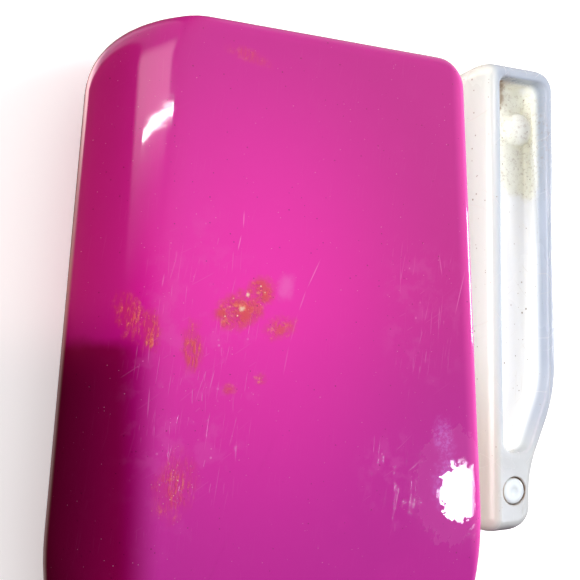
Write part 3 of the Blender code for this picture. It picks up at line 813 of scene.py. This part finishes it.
def magenta_plastic():
    """Glossy moulded shell, scuffed and stained where the palm and the table rub it, with painted shade and a
    painted shadow on its rounded flank and painted highlights and reflections by its seam, right edge and
    glare.
    """
    s = Surface("magenta_plastic", 0.16)
    front = s.fade(s.z, 9.0, 12.0)
    cloud = s.noise(16, 3, 0.55)
    s.base = s.mix(s.fade(s.y, 12.0, -18.0), (0.54, 0.003, 0.262), (0.515, 0.003, 0.305))
    # Paler towards the middle of the face and in cloudy patches.
    paler_middle = s.either(s.stain(-5, 6, 30, 38, 0, 1.0, depth=14), s.fade(cloud, 0.5, 0.9, 0.0, 0.3))
    s.paint((0.845, 0.010, 0.43), paler_middle)

    # Painted shade: the rounded flank is painted darker, most of all in its nose half, below a painted shadow
    # edge.
    flank = s.fade(s.x, -15.0, -20.0)
    flank_shadow = s.fade(s.math("ADD", s.y, s.times(s.noise(3, 2, 0.5, 3), 1.5)), 2.6, 0.4, 0.3, 1.0)
    s.paint((0.22, 0.0, 0.03), flank, flank_shadow, 0.85)
    # Painted reflection: a pale band along the seam of the rounded flank.
    worn = s.fade(s.offset(s.z, SEAM), 1.5, 0.5)
    # Painted highlight: the right edge is painted a brighter pink, as if lit through its rounding.
    slanted = s.math("MULTIPLY_ADD", s.y, (TAIL_RIGHT_X - SHOULDER_RIGHT_X) / (TAIL_Y - SHOULDER_Y))
    slanted.node.inputs[2].default_value = TAIL_RIGHT_X + 1.4
    edge = s.fade(s.math("SUBTRACT", s.x, slanted), -2.7, -0.6)
    s.paint((0.50, 0.22, 0.23), worn, s.fade(s.x, -15.0, -20.0))
    s.paint((0.95, 0.07, 0.50), edge, 0.8)

    # Rubbed zones: steep hairlines over a faint haze.
    left_zone = s.stain(-11.5, -3, 9, 21, -6, 0.5, 0.6, 4.0, 8)
    right_zone = s.times(s.stain(18.5, 4, 8, 13, 0, 0.6, 0.6, 4.0, 8), 0.8)
    low_zone = s.stain(13.5, -15.5, 6.5, 7.5, 0, 0.6, 0.6, 3.0, 8)
    zone = s.times(front, s.either(left_zone, right_zone, low_zone, 0.06))
    steep = s.either(s.hairlines(-3, 1.1, 5, 0.07, 3.3), s.hairlines(-14, 1.4, 4, 0.08, 17.1),
                     s.hairlines(-8, 0.8, 6, 0.06, 29.7))
    steep = s.times(steep, s.fade(s.noise(4, 3, 0.6, 71), 0.42, 0.60, 0.10, 1.0))
    crossed = s.hairlines(-58, 2.3, 4, 0.08, 41.3)
    strokes = [(3.0, 8.9, 2.3, -27, 0.8), (1.5, 5.7, 1.5, -21, 0.7), (0.4, 2.5, 2.0, -16, 0.45),
               (-0.6, -1.2, 2.0, -12, 0.4), (-5.8, 14.7, 1.2, -3, 0.8), (-6.3, 12.0, 1.1, -13, 0.9),
               (-15.0, 7.5, 0.9, -10, 0.7), (-9.5, -3.3, 1.4, -15, 0.7), (-16.5, -5.6, 2.0, -4, 0.6),
               (20.9, 10.7, 1.7, 9, 0.6), (23.9, 7.3, 3.8, -16, 0.7)]
    marks = s.either(*[s.stroke(*stroke) for stroke in strokes])
    scratch = s.most((steep, zone), (crossed, zone, 0.4), (marks, front))
    flecked = s.fade(s.noise(2.6, 3, 0.6, 51), 0.5, 0.66)
    flecked = s.times(flecked, zone, s.either(s.specks(0.17, 0.4, 23), 0.15))
    veil = s.times(front, s.stain(-0.6, 7.2, 1.6, 2.2, -8, 0.9, 0.8, 1.0), 0.35)
    s.paint((0.86, 0.22, 0.62), s.either(s.times(scratch, 0.62), s.times(flecked, 0.6), veil))

    # Stains: rust-red nets with tan flecks and chalky specks.
    net = s.fade(s.noise(1.8, 6, 0.75, 5), 0.39, 0.53)
    grain = s.fade(s.noise(0.9, 5, 0.75, 9), 0.53, 0.64)
    streak = s.fade(s.noise((0.35, 1.6, 2), 4, 0.7, 13, -8), 0.46, 0.6)
    blot = s.stains((-6.2, 4.4, 3.7, 2.6, 20, 0.7, 1.0, 1.5), (-3.6, 6.6, 2.3, 2.0, 30, 0.8, 1.0, 1.3))
    crumb = s.stains((-1.3, 2.5, 2.6, 1.7, 20, 0.9, 1.0, 0.9), (-3.8, -3.3, 1.0, 0.9, 0, 0.9, 0.9, 0.8),
                     (-7.5, -4.3, 1.0, 0.9, 0, 0.9, 0.9, 0.8))
    trail = s.stains((-18.4, 3.6, 1.9, 3.6, 14, 0.9, 1.0, 1.2), (-16.3, 2.2, 1.5, 3.0, 0, 0.8, 1.0, 1.2),
                     (-11.7, 0.2, 1.6, 3.6, 0, 0.8, 1.0, 1.2))
    drips = s.stain(-13.6, -14.5, 2.9, 4.8, -14, 0.9, 1.0, 1.6)
    smear = s.stain(-5.0, 33.4, 3.6, 1.2, -12, 0.9, 1.0, 1.2)
    haze = s.times(front, s.most((blot, 0.7), (trail, 0.6), (drips, 0.4), (smear, 0.3), (crumb, 0.3)))
    rust = s.times(front, s.most((blot, net), (trail, streak), (crumb, net, 0.8), (drips, streak, 0.6),
                                 (smear, streak, 0.4)))
    tan = s.times(front, grain, s.most((blot, 0.6), (trail, streak, 0.8), (crumb, 0.7),
                                       (drips, streak, 0.6), (smear, 0.2)))
    chalk = s.stains((-6.0, 4.6, 0.5, 0.45, 0, 0.9, 1.2, 0.3), (-5.3, 6.2, 0.3, 0.35, 0, 0.9, 1.2, 0.3))
    chalk = s.either(chalk, s.times(blot, s.specks(0.12, 0.3, 61)), s.times(drips, s.specks(0.1, 0.3, 67)))
    chalk = s.times(front, chalk)
    s.paint((0.64, 0.025, 0.15), haze)
    s.paint((0.70, 0.065, 0.075), rust, 0.9)
    s.paint((0.88, 0.27, 0.13), tan)
    s.paint((0.90, 0.66, 0.48), chalk)

    # Dust: sparse dark and pale specks everywhere.
    dark = s.specks(0.1, 0.05, 7)
    pale = s.specks(0.07, 0.03, 83)
    s.paint((0.12, 0.0, 0.04), dark, 0.7)
    s.paint((0.9, 0.4, 0.7), pale, 0.4)

    # A worn patch by the right edge: ragged and dull around a smooth middle, with a violet haze painted
    # around the glare as a painted reflection.
    glare_haze = s.either(s.stain(21.2, -11.0, 2.2, 3.4, 12, 0.8, 0.9, 1.3, 8),
                     s.stain(21.8, -16.6, 2.8, 4.4, 0, 0.6, 0.9, 1.0, 8))
    glare_haze = s.times(glare_haze, s.fade(s.noise(0.5, 3, 0.7, 33), 0.42, 0.60, 0.25, 1.0))
    s.paint((0.62, 0.17, 0.66), glare_haze, 0.55)
    s.colour(s.base)

    smudge = s.fade(s.noise(9, 4, 0.6, 77), 0.42, 0.7)
    stained = s.either(rust, tan, chalk)
    rough = s.math("ADD", 0.05, s.times(smudge, 0.02))
    island = s.stain(23.8, -17.9, 3.3, 3.9, 0, 0.06, 1.3, 1.0, 8)
    around = s.stain(22.6, -17.0, 5.6, 7.2, 0, 0.01, 0.9, 1.3, 8)
    rubbed = s.math("SUBTRACT", around, island, clamp=True)
    rough = s.math("ADD", rough, s.times(scratch, 0.28))
    rough = s.math("ADD", rough, s.times(rubbed, 0.42))
    s.rough(s.math("ADD", rough, s.times(stained, 0.4), clamp=True))
    s.bump(s.noise(2.2, 2, 0.5, 3), 0.006)
    s.bump(s.math("SUBTRACT", rust, s.times(steep, zone)), 0.018)
    return s.owner


def ivory_plastic():
    """White plastic gone creamy outside with age, whiter in the pocket, with dirt in its corners; its rim,
    outer wall and pocket floor carry painted light, and its pocket painted shade and a painted shadow.
    """
    s = Surface("ivory_plastic", 0.3)
    nose_end = s.fade(s.y, 4.0, -18.0)
    left = s.fade(s.x, LEVER_LEFT_X + 2.4, LEVER_LEFT_X + 0.6)
    deep = s.fade(s.z, LEVER_Z1 - 1.2, LEVER_Z1 - 3.2)
    cloud = s.noise(11, 3, 0.55, 3)
    s.base = s.mix(s.fade(cloud, 0.3, 0.7), (0.405, 0.46, 0.545), (0.385, 0.435, 0.515))
    # Painted light: the rim is painted lighter towards the nose end.
    s.paint((0.51, 0.555, 0.575), s.fade(s.y, -8.0, -16.0))
    # Partly cleaner plastic, partly painted light: the pocket floor is painted pure white where the pocket
    # gets less light.
    s.paint((1.0, 1.0, 1.0), deep)
    # Painted light: the outer left wall is painted far lighter than the rim.
    s.paint((0.80, 0.86, 0.80), left)
    s.paint((0.61, 0.55, 0.48), nose_end, s.either(left, 0.25), 0.85)

    # Grime where walls meet floor, thickest at the pocket's corners and around the pin; along the foot of the
    # left wall it is partly painted shade, and over the upper pocket floor a painted shadow joins it.
    grit = s.fade(s.noise(0.5, 6, 0.75, 11), 0.5, 0.62)
    film = s.fade(s.noise(2.4, 4, 0.6, 19), 0.42, 0.62)
    top = s.spot((LEVER_LEFT_X + 4.0, LEVER_TOP_Y - 3.7, 9), (2.9, 2.5, 6), -10, 0.5, 1.0, 1.0)
    corner = s.spot((LEVER_LEFT_X + 3.2, POCKET_BOTTOM_Y + 1.4, 9), (1.5, 2.2, 5), 10, 0.9, 1.0, 0.8)
    shade = s.spot((BOSS_X, BOSS_Y - 1.5, 9), (7.0, 9.5, 5), 18, 0.25, 0.3, 2.0)
    # Dirt and painted shade along the foot of the pocket's left wall.
    wall_foot_dirt_and_shade = s.fade(s.offset(s.x, LEVER_LEFT_X + RIM + 0.3), 0.8, 0.1)
    reach = s.from_axis(PIVOT_X, PIVOT_Y)
    ring = s.fade(s.offset(reach, PIN_HEAD_R + 0.06), 0.2, 0.05)
    s.paint((0.74, 0.82, 0.86), s.fade(reach, PIN_HEAD_R + 0.05, PIN_HEAD_R - 0.3))
    grime_and_shade = s.either(s.times(top, s.either(film, 0.35)), s.times(corner, s.either(grit, s.times(film, 0.5))),
                     s.times(shade, grit, 0.4), s.times(wall_foot_dirt_and_shade, deep, film, 0.5),
                     s.times(ring, s.fade(s.noise(1.2, 3, 0.6, 43), 0.35, 0.55)))
    # Painted shadow over the upper pocket floor, reaching into the stained top corner.
    s.paint((0.90, 0.89, 0.77), deep, s.either(top, shade), 0.85)
    s.paint((0.40, 0.24, 0.10), top, deep, s.either(film, 0.6))
    s.paint((0.20, 0.10, 0.04), grime_and_shade, 0.8)
    specks = s.either(s.specks(0.09, 0.05, 3), s.times(s.specks(0.16, 0.12, 13), deep))
    s.paint((0.22, 0.12, 0.06), specks, 0.7)
    scuff = s.either(s.hairlines(-3, 1.3, 9, 0.08, 7.7), s.hairlines(-50, 1.9, 6, 0.07, 37.3),
                     s.hairlines(38, 2.3, 7, 0.07, 19.9))
    s.paint((0.60, 0.56, 0.50), scuff, 0.35)
    s.colour(s.base)
    rough = s.math("ADD", 0.2, s.times(s.fade(cloud, 0.4, 0.7), 0.1))
    s.rough(s.math("ADD", rough, s.times(s.either(grime_and_shade, s.times(scuff, 0.5)), 0.4), clamp=True))
    s.bump(s.noise(1.5, 3, 0.5, 5), 0.015)
    s.bump(s.either(scuff, specks), -0.012)
    s.set(Subsurface_Weight=0.6, Subsurface_Scale=0.003, Subsurface_Radius=(1.0, 0.96, 0.9))
    return s.owner


def acetal():
    """Milky engineering plastic, polished by sliding and smeared with old grease."""
    s = Surface("carrier_plastic", 0.38)
    grease = s.fade(s.noise((3, 7, 3), 4, 0.6, 5), 0.52, 0.68)
    wear = s.either(s.hairlines(0, 0.8, 14, 0.08, 9.3), s.hairlines(2, 1.3, 20, 0.1, 31.1))
    s.base = s.mix(s.fade(s.noise(8, 2), 0.3, 0.7), (0.74, 0.73, 0.68), (0.80, 0.79, 0.75))
    s.paint((0.45, 0.37, 0.24), grease, 0.5)
    s.paint((0.55, 0.54, 0.52), wear, 0.3)
    s.colour(s.base)
    s.rough(s.math("SUBTRACT", 0.4, s.times(grease, 0.22)))
    s.bump(s.noise(0.7, 3, 0.6), 0.01)
    s.bump(wear, -0.01)
    s.set(Subsurface_Weight=0.1, Subsurface_Scale=0.001)
    return s.owner


def turned_metal(name, colour, dull, rough, axis_y=None, pitch=0.12):
    """Metal with fine machining marks, around the wheel's axis or along Z, and tarnish in patches."""
    s = Surface(name, rough, 1.0)
    tarnish = s.fade(s.noise(2.6, 4, 0.65, 7), 0.48, 0.7)
    if axis_y is None:
        marks = s.noise((pitch * 8, pitch * 8, pitch), 2, 0.5, 11)
    else:
        inputs = {"W": s.math("DIVIDE", s.from_axis(0, axis_y), pitch), "Scale": 1.0, "Detail": 2.0}
        marks = s.add("TexNoise", inputs, noise_dimensions="1D").outputs[0]
    nicks = s.either(s.hairlines(25, 1.2, 4, 0.06, 3.1), s.hairlines(-48, 1.5, 3, 0.06, 21.7))
    s.base = s.mix(s.times(tarnish, 0.6), colour, dull)
    s.paint([c * 0.25 for c in dull], s.specks(0.08, 0.12, 5), 0.8)
    s.colour(s.base)
    amount = s.math("ADD", rough, s.times(s.math("SUBTRACT", marks, 0.5), 0.25))
    s.rough(s.math("ADD", amount, s.times(s.either(tarnish, nicks), 0.16), clamp=True))
    s.bump(marks, 0.006)
    s.bump(nicks, -0.008)
    return s.owner


def studio_paint():
    """Matt white floor with the faintest mottling."""
    s = Surface("floor_paint", 0.85)
    s.colour(s.mix(s.noise(120, 2), (0.96, 0.96, 0.965), (1.0, 1.0, 1.0)))
    s.set(Emission_Color=(1, 1, 1, 1), Emission_Strength=0.45)
    return s.owner


# ---- scene

def finish_piece(obj, mat, body, node):
    obj.data.transform(Matrix.Scale(MM, 4))
    obj.data.materials.clear()
    obj.data.materials.append(mat)
    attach(obj, body)
    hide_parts(node)


def make_pieces():
    """Every piece on its body, in the CAD piece's place; returns the lever and its flush pin."""
    magenta, ivory, milky = magenta_plastic(), ivory_plastic(), acetal()
    wheel_steel = turned_metal("wheel_steel", (0.66, 0.66, 0.68), (0.42, 0.40, 0.37), 0.26, WHEEL_Y, 0.16)
    pin_steel = turned_metal("pin_steel", (0.62, 0.61, 0.60), (0.40, 0.38, 0.35), 0.3)
    spring_steel = turned_metal("spring_steel", (0.50, 0.50, 0.52), (0.30, 0.28, 0.26), 0.28)
    bolt_chrome = turned_metal("bolt_chrome", (0.78, 0.78, 0.80), (0.55, 0.54, 0.52), 0.12, WHEEL_Y, 0.2)
    screw_steel = turned_metal("screw_steel", (0.52, 0.51, 0.50), (0.30, 0.27, 0.23), 0.34)
    brass = turned_metal("bush_brass", (0.78, 0.56, 0.25), (0.50, 0.34, 0.15), 0.24, WHEEL_Y, 0.14)
    pieces = [(front_shell(), magenta, "housing", "front_cover"),
              (rear_shell(), magenta, "housing", "rear_cover")]
    pieces += [(cover_screw(i), screw_steel, "housing", f"cover_screw_{i}") for i in range(1, 5)]
    pieces += [(pivot_pin(), ivory, "housing", "lever_pivot_pin"),
               (coil_spring(), spring_steel, "housing", "return_spring"),
               (lever_body(), ivory, "lever", "squeeze_lever"),
               (drive_stud(), pin_steel, "lever", "drive_pin"),
               (carrier_body(), milky, "carrier", "wheel_carrier"),
               (slotted_bolt(), bolt_chrome, "carrier", "axle_bolt"),
               (hex_nut(), pin_steel, "carrier", "axle_nut"),
               (thrust_ring(), pin_steel, "carrier", "thrust_washer"),
               (split_washer(), spring_steel, "carrier", "spring_washer"),
               (serrated_wheel(), wheel_steel, "wheel", "tracing_wheel"),
               (hub_bush(), brass, "wheel", "wheel_bush"),
               (lock_cap(), ivory, "lock", "lock_button"),
               (lock_tongue(), milky, "lock", "lock_slider")]
    for obj, mat, body, node in pieces:
        finish_piece(obj, mat, body, node)
    made = {node: obj for obj, mat, body, node in pieces}
    spring = made["return_spring"]
    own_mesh(spring)
    hidden = {"magenta_plastic": magenta, "ivory_plastic": ivory, "carrier_plastic": milky}
    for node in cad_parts:
        for slot in bpy.data.objects[node].material_slots:
            slot.material = hidden.get(slot.material.name.split(".")[0], pin_steel)
    return [made["squeeze_lever"], made["lever_pivot_pin"]]


def make_floor():
    """Pale floor that throws no light back at the object."""
    bm = bmesh.new()
    bmesh.ops.create_grid(bm, x_segments=1, y_segments=1, size=4)
    floor = mesh_object("floor", bm)
    floor.location.z = -0.0002
    floor.data.materials.append(studio_paint())
    floor.visible_diffuse = False
    floor.visible_glossy = False


def make_world():
    """Soft studio, bright above and to the right and dim at the lower left, with a rosy strip in mirrors."""
    world = bpy.data.worlds.new("studio")
    bpy.context.scene.world = world
    w = Look(world)
    direction = w.add("TexCoord", {}).outputs["Generated"]
    side = w.vector("DOT_PRODUCT", direction, (0.85, 0.25, 0.46))["Value"]
    axes = w.add("SeparateXYZ", {0: direction}).outputs
    dim = w.mix(w.fade(axes[1], 0.07, 0.16), (0.03, 0.006, 0.005), (0.30, 0.20, 0.17))
    bright = w.mix(w.fade(axes[1], -0.4, 0.3), (0.62, 0.60, 0.64), (1.10, 1.08, 1.10))
    sky = w.mix(w.fade(side, 0.14, 0.60), dim, bright)
    path = w.add("LightPath", {}).outputs
    card = w.times(path["Is Glossy Ray"], w.fade(axes[0], -0.62, -0.54), w.fade(axes[0], -0.11, -0.17))
    sky = w.mix(w.times(card, w.fade(axes[1], 0.12, 0.24)), sky, (1.1, 0.88, 1.05))
    sky = w.mix(w.times(card, w.fade(axes[1], 0.22, 0.36), w.fade(axes[1], 0.64, 0.42)), sky, (5.0, 3.6, 3.8))
    sky = w.mix(w.fade(axes[2], -0.78, -0.94), sky, (0.55, 0.46, 0.46))
    sky = w.mix(path["Is Camera Ray"], sky, (0.92, 0.92, 0.93))
    w.tree.links.new(sky, w.tree.nodes["Background"].inputs["Color"])


def facing(aim):
    """Rotation that points -Z along aim, with Y as close as it gets to the object's +Y."""
    back = -Vector(aim).normalized()
    right = Vector((0, 1, 0)).cross(back).normalized()
    return Matrix((right, back.cross(right), back)).transposed().to_4x4()


def area_light(name, place, target, size, radiance, colour=(1, 1, 1), spread=180, turn=0):
    """Rectangular lamp, width by height in millimetres and turned about its aim, of the given radiance."""
    data = bpy.data.lights.new(name, "AREA")
    data.shape = "RECTANGLE"
    data.size, data.size_y = (side * MM for side in size)
    data.energy = radiance * math.pi * data.size * data.size_y
    data.color = colour
    data.spread = math.radians(spread)
    lamp = linked_object(name, data)
    spin = Matrix.Rotation(math.radians(turn), 4, "Z")
    lamp.matrix_world = Matrix.Translation(Vector(place) * MM) @ facing(Vector(target) - Vector(place)) @ spin
    return lamp


def group(name, pieces):
    collection = bpy.data.collections.new(name)
    for piece in pieces:
        collection.objects.link(piece)
    return collection


def make_lights(lever_pieces):
    """Lamps that give the glare, the corner's arc and the flank's lit half, and one for the lever alone."""
    area_light("window", (288, -90, 357), (23, -17, 15), (22, 36), 62, (0.80, 0.86, 1.0))
    area_light("corner_lamp", (-140, 166, 428), (-15.5, 25, 14), (200, 7), 45, turn=1)
    area_light("key", (480, 150, 350), (0, 0, 10), (240, 240), 11).visible_glossy = False
    area_light("edge_glint", (420, 50, 58), (26.5, 11, 14), (140, 80), 14).visible_diffuse = False
    beam = area_light("flank_beam", (-150, 47, 30), (-20, 47, 10), (40, 92), 0.55, (1.0, 0.72, 0.60), 6)
    beam.visible_glossy = False
    glow = area_light("lever_glow", (-260, 10, 120), (34, 6, 10), (160, 200), 9.0, (0.96, 1.0, 0.99))
    glow.light_linking.receiver_collection = group("lever_pieces", lever_pieces)
    glow.light_linking.blocker_collection = group("flush_pin", lever_pieces[1:])


def make_camera():
    """A close camera, 25 degrees to the left of the front face's normal."""
    distance = 95.45
    yaw, pitch = math.radians(25), math.radians(2.14)
    data = bpy.data.cameras.new("camera")
    data.sensor_width = 36
    data.lens = 51.52
    data.shift_y = 0.05
    data.clip_start = 0.005
    camera = linked_object("camera", data)
    eye = Vector((-distance * math.sin(yaw), 0, THICK + distance * math.cos(yaw)))
    aim = (math.sin(yaw) * math.cos(pitch), math.sin(pitch), -math.cos(yaw) * math.cos(pitch))
    camera.matrix_world = Matrix.Translation(eye * MM) @ facing(aim)
    bpy.context.scene.camera = camera


def main():
    make_camera()
    lever_pieces = make_pieces()
    make_floor()
    make_world()
    make_lights(lever_pieces)
    bpy.context.scene.view_settings.view_transform = "Standard"


main()
